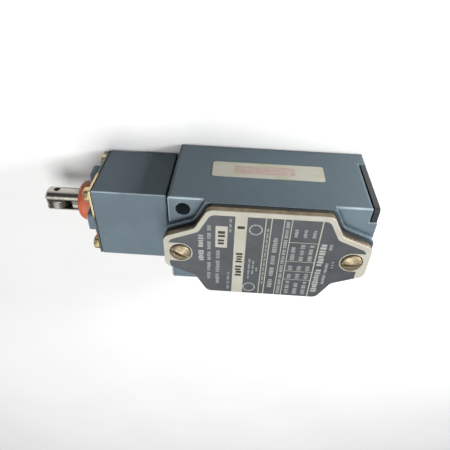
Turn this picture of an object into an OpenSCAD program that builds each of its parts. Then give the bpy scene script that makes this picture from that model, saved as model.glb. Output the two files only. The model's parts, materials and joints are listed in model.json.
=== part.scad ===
// Sealed-contact limit switch with a top-push roller plunger.
// Frame: the mounting face lies on z = 0, the cover faces +Z and the plunger points along -X.
// The origin is the centre of the two mounting holes, on the mounting face.

/* [Body casting] */
// Width of the casting along Y
body_w = 39.7; // [38:0.1:48]
// Depth of the casting, from the mounting face to the front face
body_h = 36.2; // [34.5:0.1:46]
// Radius on the outer edges of the casting
body_r = 1.3; // [0.5:0.1:2.5]
// Thickness of the wall behind the contact chamber
floor_t = 4; // [3.4:0.1:5]
// Thickness of the end wall between the head and the contact chamber
end_wall = 10.7; // [9:0.1:12]

/* [Mounting holes] */
// Distance between the two mounting holes along X
hole_dx = 59.5; // [58:0.1:72]
// Distance between the two mounting holes along Y
hole_dy = 30.2; // [29:0.1:31]
// Diameter of a mounting hole, for a number 10 or M5 screw
hole_d = 5.3; // [4:0.1:6]
// Distance from a hole's centre to the head end of the casting
hole_edge = 5.45; // [5:0.05:8]
// Distance from a hole's centre to the conduit end of the casting
hole_edge_out = 5.05; // [4:0.05:8]

/* [Cover] */
// How far the cover runs past the centre of a mounting hole, along X
cover_past_hole = 6.65; // [5:0.05:8]
// Half of the height of the cover's end lobe
lobe_half_w = 6.9; // [6:0.1:8]
// Distance of the waist corner from a mounting hole, along X
waist_back = 4.45; // [4:0.05:6]
// Distance of the waist corner from a mounting hole, along Y
waist_in = 3.5; // [3.2:0.1:5]
// Length of the shoulder's slope, along X
shoulder_run = 4.4; // [3:0.1:6]
// Height of the raised land under the cover
land_h = 1.8; // [1:0.1:3]
// How far the raised land stands out beyond the cover
land_rim = 1; // [0.2:0.1:1.2]
// Thickness of the rubber cover gasket
gasket_t = 1.8; // [0.5:0.1:2]
// How far the gasket is set in from the cover's edge
gasket_inset = 0.2; // [0.2:0.1:1]
// Thickness of the cover
cover_t = 1.6; // [1.6:0.1:4]
// Thickness of the nameplate on the cover
nameplate_t = 0.6; // [0.3:0.1:1]
// Distance of a cover screw from the cover's end
cover_screw_edge = 6; // [5:0.1:6.6]
// Diameter of a cover screw's thread
cover_screw_d = 4; // [3:0.1:4.5]
// Length of thread that a cover screw has in the casting
cover_screw_grip = 8; // [5:0.5:9]

/* [Conduit end] */
// Diameter of the half-inch taper-thread conduit entry, at its pitch line
conduit_d = 19.8; // [16:0.1:23.8]
// Height of the conduit's axis above the mounting face
conduit_z = 16.5; // [16:0.1:17.5]
// Wall of the hub around the conduit entry
hub_wall = 3.6; // [2:0.1:4]
// How far the hub stands out from the casting's end
hub_l = 2.6; // [2.2:0.1:5]
// Thickness of the black end plate
end_plate_t = 2; // [1:0.1:2.2]
// Height of the foot below the end plate
foot_h = 8.7; // [6:0.1:10]
// Half width of the lip above the end plate
lip_half_w = 14; // [10:0.1:16]
// Depth of the lip above the end plate
lip_h = 3.4; // [2:0.1:4]
// Depth of the screw seat sunk in the corner over the second mounting hole
seat_h = 6.2; // [5:0.1:9]

/* [Head] */
// Length of the head casting along X
head_l = 27.8; // [25:0.1:34]
// Width of the head along Y
head_w = 30.9; // [28:0.1:37]
// Depth of the head along Z
head_h = 29.2; // [28:0.1:34]
// Height of the head's underside above the mounting face
head_lift = 0.6; // [0:0.1:1.5]
// Radius on the head's outer edges
head_r = 0.9; // [0.3:0.1:1.5]
// Thickness of the gasket between the head and the casting
head_gasket_t = 1.3; // [0.8:0.1:2]
// Distance of a head screw from the nearer side of the head
head_screw_edge = 2.9; // [2.8:0.1:3.4]
// Diameter of a head screw's thread
head_screw_d = 3; // [2.5:0.1:3.2]
// Thickness of the retainer plate on the head
retainer_t = 0.8; // [0.8:0.1:2]
// Thickness of the end cap that holds the boot
cap_t = 2.6; // [1.8:0.1:3]

/* [Plunger] */
// Diameter of the plunger
plunger_d = 9.2; // [8:0.1:11.2]
// How far the plunger's tip stands out from the end cap
plunger_out = 20.5; // [19.5:0.1:26]
// Inward travel of the plunger
travel = 5.2; // [3:0.1:6.3]
// Diameter of the roller
roller_d = 10; // [8.4:0.1:12]
// Width of the roller
roller_w = 3.8; // [3:0.1:4.6]
// How far the roller stands out beyond the plunger's tip
roller_proud = 0.6; // [0.3:0.1:1]
// Diameter of the roller pin
pin_d = 2.4; // [2:0.1:3]
// How far the boot's dome stands out from the plunger's side
boot_rise = 3.5; // [3:0.1:4]
// Length of the boot that is left when the plunger is pushed in
boot_fold = 3.2; // [2.9:0.1:4]

/* [Contact chamber] */
// Height of the contact housing above the plunger's axis
housing_top = 8.8; // [8:0.1:10]
// Space left for wires between the contact housing and the conduit end of the chamber
well_l = 12.5; // [11:0.1:13]
// Length of the magnet carrier
carrier_l = 16; // [14:0.1:19.2]
// Width of the magnet carrier
carrier_w = 10; // [8.4:0.1:11]
// Height of the magnet carrier
carrier_h = 9; // [7.5:0.1:10.8]
// Diameter of the sealed contact capsule
capsule_d = 5.6; // [4.7:0.1:6]
// Length of the sealed contact capsule
capsule_l = 24; // [20:0.1:28.8]
// Wall between the carrier's channel and the capsule
capsule_wall = 1; // [0.6:0.1:1.4]
// Diameter of the drive rod
rod_d = 4; // [3:0.1:4.8]

/* [Fits] */
// Radial clearance of a sliding or turning fit
run_c = 0.05; // [0.02:0.01:0.1]
// Radial clearance of a screw or pin in its hole
seat_c = 0.04; // [0.02:0.01:0.1]
// Radial clearance of a screw in a piece that it passes through
pass_c = 0.2; // [0.1:0.05:0.4]
// Gap between pieces that meet end to end on different bodies
touch_c = 0.05; // [0.02:0.01:0.1]
// Side clearance of a piece in its pocket
pocket_c = 0.4; // [0.2:0.05:0.6]
// Side clearance of the roller in its slot
roller_c = 0.2; // [0.1:0.05:0.3]
// Clearance past the tip of a screw
tip_c = 0.4; // [0.2:0.05:0.5]

/* [Hidden] */
$fn = 64;
eps = 0.01;

// Casting along X
body_x0 = -hole_dx / 2 - hole_edge;
body_x1 = hole_dx / 2 + hole_edge_out;
hub_x1 = body_x1 + hub_l;
hub_d = conduit_d + 2 * hub_wall;
chamber_x0 = body_x0 + end_wall;
chamber_x1 = -chamber_x0;
foot_gap = 0.15;
lip_r = 0.6;
seat_wall = 0.4;
seat_corner_r = 2;

// Cover and what lies under it, along Z
land_z = body_h + land_h;
cover_z = land_z + gasket_t;
nameplate_z = cover_z + cover_t;
cover_half_l = hole_dx / 2 + cover_past_hole;
cover_screw_x = cover_half_l - cover_screw_edge;
cover_corner_r = 3;
cover_screw_head_d = 7;
cover_screw_head_h = 1.5;
cover_screw_dome = 0.7;
cover_screw_angles = [-30, 6];
nameplate_inset = 0.12;
chamber_inset = 4;
chamber_corner_r = 1.5;

// Side label
label_x = [-21.1, 20.1];
label_z = [12.2, 21.9];
label_t = 0.12;
label_corner_r = 1.1;

// Head: its place, its four screws and its end cap
axis_z = head_lift + head_h / 2;
head_x1 = body_x0 - head_gasket_t;
head_x0 = head_x1 - head_l;
head_y = head_w / 2;
head_z0 = axis_z - head_h / 2;
head_z1 = axis_z + head_h / 2;
head_gasket_inset = 0.7;
retainer_x0 = head_x0 - retainer_t;
retainer_inset = 0.1;
cap_x0 = retainer_x0 - cap_t;
head_screw_pitch = min(head_w, head_h) - 2 * head_screw_edge;
head_screw_web = 0.2;
head_screw_grip = hole_edge - hole_d / 2 - head_screw_web - tip_c;
head_screw_head_d = 5.6;
head_screw_head_h = 2.3;
head_screw_dome = 0.7;
head_screw_angle = 25;
ear_half_w = 4;
ear_inset = 0.4;
ear_fillet = 1.6;
cap_rim = 1.6;

// Boot: a flange under the end cap, a dome, and a lip on the plunger
boot_r = plunger_d / 2 + boot_rise;
boot_l = travel + boot_fold;
boot_flange_r = boot_r + 1.5;
boot_flange_t = 1;
boot_wall = 1.1;
boot_lip_l = 1.8;
boot_lip_bevel = 1;
boot_dome_r = 2.6;
boot_c = 0.2;
cap_disc_d = 2 * (boot_flange_r + cap_rim);

// Springs
spring_wire = 0.8;
spring_turns = 4;
spring_spare = 0.8;
spring_l = travel + (spring_turns + 1) * spring_wire + spring_spare;
spring_mean_d = plunger_d + 3.6;
spring_side_c = 1.2;
spring_room_d = spring_mean_d + spring_wire + 2 * spring_side_c;
carrier_spring_wire = 0.6;
carrier_spring_d = 5.4;
carrier_spring_turns = 7;

// Head internals along X, from the spring plate back to the bushing
plate_set = 0.8;
plate_t = 1.2;
plate_rod_c = 0.6;
washer_t = 0.8;
washer_rim = 0.5;
clip_t = 0.9;
clip_rim = 1.6;
clip_groove = 0.8;
clip_gap = 5.6;
spring_plate_x0 = head_x1 - plate_set - plate_t;
spring_x0 = spring_plate_x0 - spring_l;
washer_x0 = spring_x0 - washer_t;
clip_x0 = washer_x0 - touch_c - clip_t;
bushing_x1 = clip_x0 - touch_c;
bushing_wall = 1.9;
bushing_d = plunger_d + 2 * bushing_wall;
seal_wall = 1.15;
seal_d = plunger_d + 2 * seal_wall;
seal_l = 2.2;

// Plunger, roller and pin
tip_x = cap_x0 - plunger_out;
pin_x = tip_x + roller_d / 2 - roller_proud;
pin_inset = 1.1;
slot_w = roller_w + 2 * roller_c;
slot_end_c = 2;
slot_l = pin_x - tip_x + roller_d / 2 + slot_end_c;
plunger_stop = 1.3;
plunger_x1 = spring_plate_x0 - travel - plunger_stop;
plunger_nose = 1;
plunger_chamfer = 0.4;
roller_chamfer = 0.35;

// Drive rod, its guide and its seal
rod_x0 = plunger_x1 + touch_c;
rod_sunk = 2.5;
guide_wall = 2;
guide_d = rod_d + 2 * guide_wall;
rod_seal_l = 1.6;

// Contact housing and the carrier's channel in it
housing_gap = 0.5;
housing_x0 = chamber_x0 + 2 * housing_gap;
housing_x1 = chamber_x1 - well_l;
housing_z = axis_z + housing_top;
housing_h = housing_z - floor_t;
carrier_x0 = housing_x0 + 2.5;
carrier_x1 = carrier_x0 + carrier_l;
channel_x1 = housing_x1 - 2.5;
magnet_size = [10, 2, 6];
magnet_back = 3;
spigot_l = 2;
spigot_c = 0.4;
rib_h = 6;
rib_t = 2;
rib_y0 = 2;
housing_screw_d = 3.5;
housing_screw_y = -(carrier_w / 2 + pocket_c + 4.2);
housing_screw_xs = [housing_x0 + 8, housing_x1 - 5];
housing_screw_grip = 2.6;
housing_screw_head = [6.2, 1.8];

// Sealed contact, its straps and its terminals
capsule_y = carrier_w / 2 + pocket_c + capsule_wall + capsule_d / 2;
capsule_x0 = housing_x0 + 4.5;
capsule_x1 = capsule_x0 + capsule_l;
capsule_end_r = 1.2;
strap_t = 0.8;
strap_w = 3;
strap_tab = 7.8;
strap_c = 0.1;
strap_low = 1.5;
terminal_back = 3.6;
terminal_x = [capsule_x0 + terminal_back, capsule_x1 - terminal_back];
terminal_d = 3.5;
terminal_grip = 4.2;
terminal_head = [5.8, 1.9];
clamp_w = 6;
clamp_t = 1;
ground_x = chamber_x1 - 6.5;
ground_y = 6.5;
ground_boss = [8, 3];
ground_head = [6.6, 1.6];
ground_grip = 0.8;

// ---------- outlines ----------

// Outward normal of the edge from p to q, for points that run anticlockwise
function edge_normal(p, q) = let (d = q - p) [d.y, -d.x] / norm(d);

// The outline with every edge moved outwards by g
function grown(pts, g) = [for (i = [0:len(pts) - 1])
    let (
        n = len(pts),
        n1 = edge_normal(pts[(i + n - 1) % n], pts[i]),
        n2 = edge_normal(pts[i], pts[(i + 1) % n])
    )
    pts[i] + g / (1 + n1 * n2) * (n1 + n2)];

// The point p turned by angle a about the origin
function turned(p, a) = [p.x * cos(a) - p.y * sin(a), p.x * sin(a) + p.y * cos(a)];

// The outline with each corner rounded to radius r by an arc of several steps
function rounded(pts, r, steps = 6) = [for (i = [0:len(pts) - 1])
    let (
        n = len(pts),
        q = pts[i],
        a = (q - pts[(i + n - 1) % n]) / norm(q - pts[(i + n - 1) % n]),
        b = (pts[(i + 1) % n] - q) / norm(pts[(i + 1) % n] - q),
        bend = acos(a * b),
        side = sign(a.x * b.y - a.y * b.x),
        centre = q + (b - a) / norm(b - a) * r / cos(bend / 2),
        start = q - a * r * tan(bend / 2)
    )
    for (s = [0:steps]) centre + turned(start - centre, side * bend * s / steps)];

function box_outline(x0, x1, y0, y1) = [[x0, y0], [x1, y0], [x1, y1], [x0, y1]];

// The cover's outline: a broad middle between two waists, and a lobe for a screw at each end
function cover_outline() =
    let (
        waist = [hole_dx / 2 - waist_back, hole_dy / 2 - waist_in],
        quarter = [[cover_half_l, lobe_half_w], waist, [waist.x - shoulder_run, body_w / 2]]
    )
    concat(
        quarter,
        [for (i = [2:-1:0]) [-quarter[i].x, quarter[i].y]],
        [for (i = [0:2]) -quarter[i]],
        [for (i = [2:-1:0]) [quarter[i].x, -quarter[i].y]]
    );

// ---------- shared shapes ----------

// A block whose twelve edges are rounded, from corner a to corner b
module rounded_block(a, b, r) {
    intersection() {
        translate([0, 0, a.z])
            linear_extrude(b.z - a.z)
                polygon(rounded(box_outline(a.x, b.x, a.y, b.y), r));
        translate([a.x, 0, 0])
            rotate([90, 0, 90])
                linear_extrude(b.x - a.x)
                    polygon(rounded(box_outline(a.y, b.y, a.z, b.z), r));
        translate([0, b.y, 0])
            rotate([90, 0, 0])
                linear_extrude(b.y - a.y)
                    polygon(rounded(box_outline(a.x, b.x, a.z, b.z), r));
    }
}

// A cylinder along X from x0 to x1, on the line at the given y and z
module x_cylinder(x0, x1, d, y = 0, z = axis_z) {
    translate([x0, y, z])
        rotate([0, 90, 0])
            cylinder(h = x1 - x0, d = d);
}

// A tube along X
module x_tube(x0, x1, outer, inner, y = 0, z = axis_z) {
    difference() {
        x_cylinder(x0, x1, outer, y, z);
        x_cylinder(x0 - 1, x1 + 1, inner, y, z);
    }
}

// A slotted screw along -Z with its head's underside at the origin
module slotted_screw(shank_d, shank_l, head_d, head_h, kerf = 1, kerf_h = 1, dome = 0) {
    difference() {
        union() {
            cylinder(h = head_h, d = head_d);
            if (dome > 0)
                translate([0, 0, head_h])
                    cylinder(h = dome, d1 = head_d, d2 = head_d - 2 * dome, $fn = 48);
            translate([0, 0, -shank_l])
                cylinder(h = shank_l + eps, d = shank_d);
        }
        translate([-head_d, -kerf / 2, head_h + dome - kerf_h])
            cube([2 * head_d, kerf, kerf_h + 1]);
    }
}

// Point number i on a helix about the X axis, from x0 to x1
function helix_point(x0, x1, d, turns, i, n) = let (t = i / n, a = 360 * turns * t)
    [x0 + (x1 - x0) * t, d / 2 * cos(a), d / 2 * sin(a)];

// A coil spring along X, whose wire stays between x0 and x1
module coil_spring(x0, x1, mean_d, wire, turns, z = axis_z) {
    n = 18 * turns;
    sides = 6;
    a = x0 + wire / 2;
    b = x1 - wire / 2;
    points = [for (i = [0:n]) for (k = [0:sides - 1])
        let (
            turn = 360 * turns * i / n,
            c = helix_point(a, b, mean_d, turns, i, n),
            out = [0, cos(turn), sin(turn)],
            t = 360 * (k + 0.5) / sides
        )
        c + wire / 2 * (out * cos(t) + [sin(t), 0, 0])];
    rings = [for (i = [0:n - 1]) for (k = [0:sides - 1]) let (k2 = (k + 1) % sides)
        [i * sides + k, i * sides + k2, (i + 1) * sides + k2, (i + 1) * sides + k]];
    ends = [[for (k = [sides - 1:-1:0]) k], [for (k = [0:sides - 1]) n * sides + k]];
    translate([0, 0, z])
        polyhedron(points, concat(rings, ends), convexity = 10);
}

// Places of the four head screws, in Y and Z
module at_head_screws() {
    for (y = [-1, 1], z = [-1, 1])
        translate([0, y * head_screw_pitch / 2, axis_z + z * head_screw_pitch / 2])
            children();
}

// Places of the two cover screws
module at_cover_screws() {
    for (x = [-1, 1])
        translate([x * cover_screw_x, 0, 0])
            children();
}

// ---------- body ----------

// The chamber's plan, less a margin, from x0 to x1
module chamber_plan(x0 = chamber_x0, x1 = chamber_x1, margin = 0) {
    intersection() {
        polygon(rounded(grown(cover_outline(), -chamber_inset - margin), chamber_corner_r));
        translate([x0, -body_w / 2])
            square([x1 - x0, body_w]);
    }
}

module raised_land() {
    intersection() {
        translate([0, 0, body_h - 2 * body_r])
            linear_extrude(land_h + 2 * body_r)
                polygon(rounded(grown(cover_outline(), land_rim), cover_corner_r));
        translate([body_x0, -body_w / 2, 0])
            cube([hub_x1 - body_x0, body_w, 2 * body_h]);
    }
}

module conduit_end() {
    x_cylinder(body_x1 - 1, hub_x1, hub_d, 0, conduit_z);
    rounded_block([body_x1 - 2 * body_r, -body_w / 2, 0],
        [hub_x1, body_w / 2, foot_h], body_r);
    rounded_block([body_x1 - 2 * body_r, -lip_half_w, body_h - lip_h],
        [hub_x1, lip_half_w, body_h], lip_r);
}

// The corner that is cut away down to the second mounting screw's seat
module corner_seat() {
    translate([0, 0, body_h - seat_h])
        linear_extrude(seat_h + 1)
            difference() {
                translate([hole_dx / 2 - waist_back, -body_w / 2 - 1])
                    square([2 * (hub_x1 - hole_dx / 2), body_w / 2]);
                polygon(rounded(grown(cover_outline(), land_rim + seat_wall), seat_corner_r));
            }
}

module body_casting() color("slategray") {
    difference() {
        union() {
            rounded_block([body_x0, -body_w / 2, 0], [body_x1, body_w / 2, body_h], body_r);
            raised_land();
            conduit_end();
        }
        difference() {
            translate([0, 0, floor_t])
                linear_extrude(land_z)
                    chamber_plan();
            translate([ground_x, ground_y, 0])
                cylinder(h = floor_t + ground_boss[1], d = ground_boss[0]);
        }
        for (s = [-1, 1])
            translate([s * hole_dx / 2, -s * hole_dy / 2, -1])
                cylinder(h = body_h + 2, d = hole_d);
        corner_seat();
        at_cover_screws()
            translate([0, 0, land_z - cover_screw_grip - 1])
                cylinder(h = cover_screw_grip + 2, d = cover_screw_d + 2 * seat_c);
        at_head_screws()
            x_cylinder(body_x0 - 1, body_x0 + head_screw_grip + tip_c, head_screw_d + 2 * seat_c, 0, 0);
        x_cylinder(body_x0 - 1, chamber_x0 + 1, guide_d + 2 * seat_c);
        x_cylinder(chamber_x1 - 1, hub_x1 + 1, conduit_d, 0, conduit_z);
        for (x = housing_screw_xs)
            translate([x, housing_screw_y, floor_t - housing_screw_grip - tip_c])
                cylinder(h = floor_t, d = housing_screw_d + 2 * seat_c);
        translate([ground_x, ground_y, floor_t - ground_grip - tip_c])
            cylinder(h = floor_t + ground_boss[1], d = terminal_d + 2 * seat_c);
    }
}

module end_plate() color("#2a2d2f") {
    half_w = body_w / 2;
    difference() {
        intersection() {
            translate([body_x1, 0, 0])
                rotate([90, 0, 90])
                    linear_extrude(end_plate_t)
                        polygon(rounded(box_outline(-half_w, half_w, 0, body_h), body_r));
            translate([body_x1, -half_w, foot_h + foot_gap])
                cube([end_plate_t, body_w, body_h]);
        }
        x_cylinder(body_x1 - 1, hub_x1 + 1, hub_d + 2 * foot_gap, 0, conduit_z);
        translate([body_x1 - 1, -lip_half_w - foot_gap, body_h - lip_h - foot_gap])
            cube([end_plate_t + 2, 2 * (lip_half_w + foot_gap), body_h]);
        corner_seat();
    }
}

// ---------- cover ----------

module cover_gasket() color("#1d1f20") {
    translate([0, 0, land_z])
        linear_extrude(gasket_t)
            difference() {
                polygon(rounded(grown(cover_outline(), -gasket_inset), cover_corner_r));
                chamber_plan();
                at_cover_screws()
                    circle(d = cover_screw_d + 2 * pass_c);
            }
}

module cover_plate() color("#857058") {
    difference() {
        translate([0, 0, cover_z])
            linear_extrude(cover_t)
                polygon(rounded(cover_outline(), cover_corner_r));
        at_cover_screws()
            translate([0, 0, cover_z - 1])
                cylinder(h = cover_t + 2, d = cover_screw_d + 2 * pass_c);
    }
}

module nameplate() color("#5c6064") {
    difference() {
        translate([0, 0, nameplate_z])
            linear_extrude(nameplate_t)
                polygon(rounded(grown(cover_outline(), -nameplate_inset), cover_corner_r));
        at_cover_screws()
            translate([0, 0, nameplate_z - 1])
                cylinder(h = nameplate_t + 2, d = cover_screw_head_d + 2 * pocket_c);
    }
}

module cover_screws() color("#b9a06c") {
    for (i = [0, 1])
        translate([(2 * i - 1) * cover_screw_x, 0, nameplate_z])
            rotate([0, 0, cover_screw_angles[i]])
                slotted_screw(cover_screw_d, cover_t + gasket_t + cover_screw_grip, cover_screw_head_d,
                    cover_screw_head_h, kerf = 1.2, kerf_h = 1.3, dome = cover_screw_dome);
}

module side_label() color("#b9afa2") {
    translate([0, body_w / 2 + label_t, 0])
        rotate([90, 0, 0])
            linear_extrude(label_t)
                polygon(rounded(box_outline(label_x[0], label_x[1], label_z[0], label_z[1]),
                    label_corner_r));
}

// ---------- head ----------

module head_casting() color("slategray") {
    difference() {
        rounded_block([head_x0, -head_y, head_z0], [head_x1, head_y, head_z1], head_r);
        x_cylinder(head_x0 - 1, bushing_x1 + 1, bushing_d + 2 * seat_c);
        x_cylinder(bushing_x1, head_x1 + 1, spring_room_d);
        at_head_screws()
            x_cylinder(head_x0 - 1, head_x1 + 1, head_screw_d + 2 * pass_c, 0, 0);
    }
}

// A plate with the head's outline, set in a little, from x0 to x1
module head_plate(x0, x1, inset) {
    translate([x0, 0, 0])
        rotate([90, 0, 90])
            linear_extrude(x1 - x0)
                polygon(rounded(box_outline(-head_y + inset, head_y - inset,
                    head_z0 + inset, head_z1 - inset), head_r));
}

module head_gasket() color("#1d1f20") {
    difference() {
        head_plate(head_x1, body_x0, head_gasket_inset);
        x_cylinder(head_x1 - 1, body_x0 + 1, spring_room_d);
        at_head_screws()
            x_cylinder(head_x1 - 1, body_x0 + 1, head_screw_d + 2 * pass_c, 0, 0);
    }
}

module retainer_plate() color("#b7a06a") {
    difference() {
        head_plate(retainer_x0, head_x0, retainer_inset);
        x_cylinder(retainer_x0 - 1, head_x0 + 1, plunger_d + 2 * pocket_c);
        at_head_screws()
            x_cylinder(retainer_x0 - 1, head_x0 + 1, head_screw_d + 2 * pass_c, 0, 0);
    }
}

// The end cap's outline: a disc with an ear to the middle of each side of the head
module cap_outline() {
    ear_y = head_y - ear_inset;
    ear_z = head_h / 2 - ear_inset;
    offset(r = -ear_fillet)
        offset(delta = ear_fillet) {
            circle(d = cap_disc_d);
            polygon(rounded(box_outline(-ear_y, ear_y, -ear_half_w, ear_half_w), ear_fillet));
            polygon(rounded(box_outline(-ear_half_w, ear_half_w, -ear_z, ear_z), ear_fillet));
        }
}

module end_cap() color("slategray") {
    difference() {
        translate([cap_x0, 0, axis_z])
            rotate([90, 0, 90])
                linear_extrude(cap_t)
                    cap_outline();
        x_cylinder(cap_x0 - 1, retainer_x0 + 1, 2 * (boot_r + boot_c));
        x_cylinder(retainer_x0 - boot_flange_t - eps, retainer_x0 + 1, 2 * (boot_flange_r + boot_c));
    }
}

module head_screws() color("#c9ab60") {
    at_head_screws()
        translate([retainer_x0, 0, 0])
            rotate([0, -90, 0])
                rotate([0, 0, head_screw_angle])
                    slotted_screw(head_screw_d, retainer_t + head_l + head_gasket_t + head_screw_grip,
                        head_screw_head_d, head_screw_head_h, kerf_h = 1.2, dome = head_screw_dome);
}

// The boot's section holds its radius against the distance out from the retainer plate
module wiper_boot() color("#dd7a5a") {
    lip_r = plunger_d / 2 + run_c;
    inner_r = boot_r - boot_wall;
    translate([retainer_x0, 0, axis_z])
        rotate([0, -90, 0])
            rotate_extrude()
                polygon(concat(
                    [[inner_r, 0], [boot_flange_r, 0], [boot_flange_r, boot_flange_t],
                        [boot_r, boot_flange_t]],
                    [for (a = [0:15:90]) [boot_r, boot_l] - boot_dome_r * [1 - cos(a), 1 - sin(a)]],
                    [[lip_r, boot_l], [lip_r, boot_l - boot_lip_l],
                        [inner_r - boot_lip_bevel, boot_l - boot_lip_l],
                        [inner_r, boot_l - boot_lip_l - boot_lip_bevel]]));
}

module plunger_bushing() color("#a9803f") {
    difference() {
        x_tube(head_x0, bushing_x1, bushing_d, plunger_d + 2 * run_c);
        x_cylinder(head_x0 - 1, head_x0 + seal_l + 2 * touch_c, seal_d + 2 * seat_c);
    }
}

module plunger_seal() color("#1d1f20") {
    x_tube(head_x0 + touch_c, head_x0 + touch_c + seal_l, seal_d, plunger_d + 2 * run_c);
}

module spring_plate() color("silver") {
    x_tube(spring_plate_x0, spring_plate_x0 + plate_t, spring_room_d - 2 * seat_c,
        rod_d + 2 * plate_rod_c);
}

module return_spring() color("silver") {
    coil_spring(spring_x0 + touch_c, spring_plate_x0 - touch_c, spring_mean_d, spring_wire,
        spring_turns);
}

// ---------- plunger ----------

module plunger() color("#c9c8c2") {
    r = plunger_d / 2;
    plunger_l = plunger_x1 - tip_x;
    difference() {
        translate([tip_x, 0, axis_z])
            rotate([0, 90, 0])
                rotate_extrude()
                    polygon([[0, 0], [r - plunger_nose, 0], [r, plunger_nose],
                        [r, plunger_l - plunger_chamfer], [r - plunger_chamfer, plunger_l],
                        [0, plunger_l]]);
        translate([tip_x - 1, -slot_w / 2, axis_z - plunger_d])
            cube([slot_l + 1, slot_w, 2 * plunger_d]);
        translate([pin_x, plunger_d, axis_z])
            rotate([90, 0, 0])
                cylinder(h = 2 * plunger_d, d = pin_d + 2 * seat_c);
        x_tube(clip_x0 - touch_c, clip_x0 + clip_t + touch_c, plunger_d + 1,
            plunger_d - 2 * clip_groove);
    }
}

module roller_pin() color("#8d8c88") {
    pin_l = plunger_d - 2 * pin_inset;
    translate([pin_x, pin_l / 2, axis_z])
        rotate([90, 0, 0])
            cylinder(h = pin_l, d = pin_d);
}

module roller() color("#a5a49e") {
    r = roller_d / 2;
    h = roller_w / 2;
    bore_r = pin_d / 2 + run_c;
    translate([pin_x, 0, axis_z])
        rotate([90, 0, 0])
            rotate_extrude($fn = 96)
                polygon([[bore_r, -h], [r - roller_chamfer, -h], [r, roller_chamfer - h],
                    [r, h - roller_chamfer], [r - roller_chamfer, h], [bore_r, h]]);
}

module retaining_clip() color("silver") {
    outer = plunger_d + 2 * clip_rim;
    difference() {
        x_tube(clip_x0, clip_x0 + clip_t, outer, plunger_d - 2 * clip_groove + 2 * seat_c);
        translate([clip_x0 - 1, -clip_gap / 2, axis_z - outer])
            cube([clip_t + 2, clip_gap, outer]);
    }
}

module spring_washer() color("silver") {
    x_tube(washer_x0, washer_x0 + washer_t, spring_mean_d + spring_wire + 2 * washer_rim,
        plunger_d + 2 * run_c);
}

// ---------- contact chamber ----------

module rod_guide() color("#a9803f") {
    x_tube(body_x0 + rod_seal_l + touch_c, chamber_x0, guide_d, rod_d + 2 * run_c);
}

module rod_seal() color("#1d1f20") {
    x_tube(body_x0, body_x0 + rod_seal_l, guide_d, rod_d + 2 * run_c);
}

module drive_rod() color("silver") {
    x_cylinder(rod_x0, carrier_x0 + rod_sunk, rod_d);
}

module magnet_carrier() color("#d8d3c4") {
    spigot_d = carrier_spring_d - carrier_spring_wire - 2 * spigot_c;
    difference() {
        union() {
            translate([carrier_x0, -carrier_w / 2, axis_z - carrier_h / 2])
                cube([carrier_l, carrier_w, carrier_h]);
            x_cylinder(carrier_x1 - 1, carrier_x1 + spigot_l, spigot_d);
        }
        x_cylinder(carrier_x0 - 1, carrier_x0 + rod_sunk + touch_c, rod_d + 2 * seat_c);
        translate([carrier_x0 + magnet_back, carrier_w / 2 - magnet_size.y,
            axis_z - magnet_size.z / 2])
            cube([magnet_size.x, magnet_size.y + 1, magnet_size.z]);
    }
}

module magnet() color("#55585c") {
    gap = [seat_c, seat_c, seat_c];
    translate([carrier_x0 + magnet_back, carrier_w / 2 - magnet_size.y,
        axis_z - magnet_size.z / 2] + gap)
        cube(magnet_size - 2 * gap);
}

module carrier_spring() color("silver") {
    coil_spring(carrier_x1 + touch_c, channel_x1 - touch_c, carrier_spring_d, carrier_spring_wire,
        carrier_spring_turns);
}

module contact_housing() color("#33302c") {
    rib_x = (terminal_x[0] + terminal_x[1]) / 2;
    difference() {
        union() {
            translate([0, 0, floor_t])
                linear_extrude(housing_h)
                    chamber_plan(housing_x0, housing_x1, housing_gap);
            translate([rib_x - rib_t / 2, rib_y0, housing_z - 1])
                cube([rib_t, capsule_y + clamp_w / 2, rib_h + 1]);
        }
        translate([housing_x0 - 1, -carrier_w / 2 - pocket_c, axis_z - carrier_h / 2 - pocket_c])
            cube([channel_x1 - housing_x0 + 1, carrier_w + 2 * pocket_c, carrier_h + 2 * pocket_c]);
        x_cylinder(capsule_x0, housing_x1 + 1, capsule_d + 2 * seat_c, capsule_y);
        for (x = [capsule_x0 - strap_t - strap_c, capsule_x1 + strap_c])
            translate([x - strap_c, capsule_y - strap_w / 2 - strap_c, axis_z - capsule_d / 2])
                cube([strap_t + 2 * strap_c, strap_w + 2 * strap_c, housing_h]);
        for (x = terminal_x)
            translate([x, capsule_y, housing_z - terminal_grip - tip_c])
                cylinder(h = terminal_grip + 1, d = terminal_d + 2 * seat_c);
        for (x = housing_screw_xs)
            translate([x, housing_screw_y, 0])
                cylinder(h = 2 * housing_z, d = housing_screw_d + 2 * pass_c);
    }
}

module housing_screws() color("#b9a06c") {
    for (x = housing_screw_xs)
        translate([x, housing_screw_y, housing_z])
            slotted_screw(housing_screw_d, housing_h + housing_screw_grip, housing_screw_head[0],
                housing_screw_head[1]);
}

// The glass capsule with a metal cap at each end
module sealed_contact() color("#9fb7a8") {
    r = capsule_d / 2;
    translate([capsule_x0, capsule_y, axis_z])
        rotate([0, 90, 0])
            rotate_extrude()
                polygon([[0, 0], [r - capsule_end_r, 0], [r, capsule_end_r],
                    [r, capsule_l - capsule_end_r], [r - capsule_end_r, capsule_l], [0, capsule_l]]);
}

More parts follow.
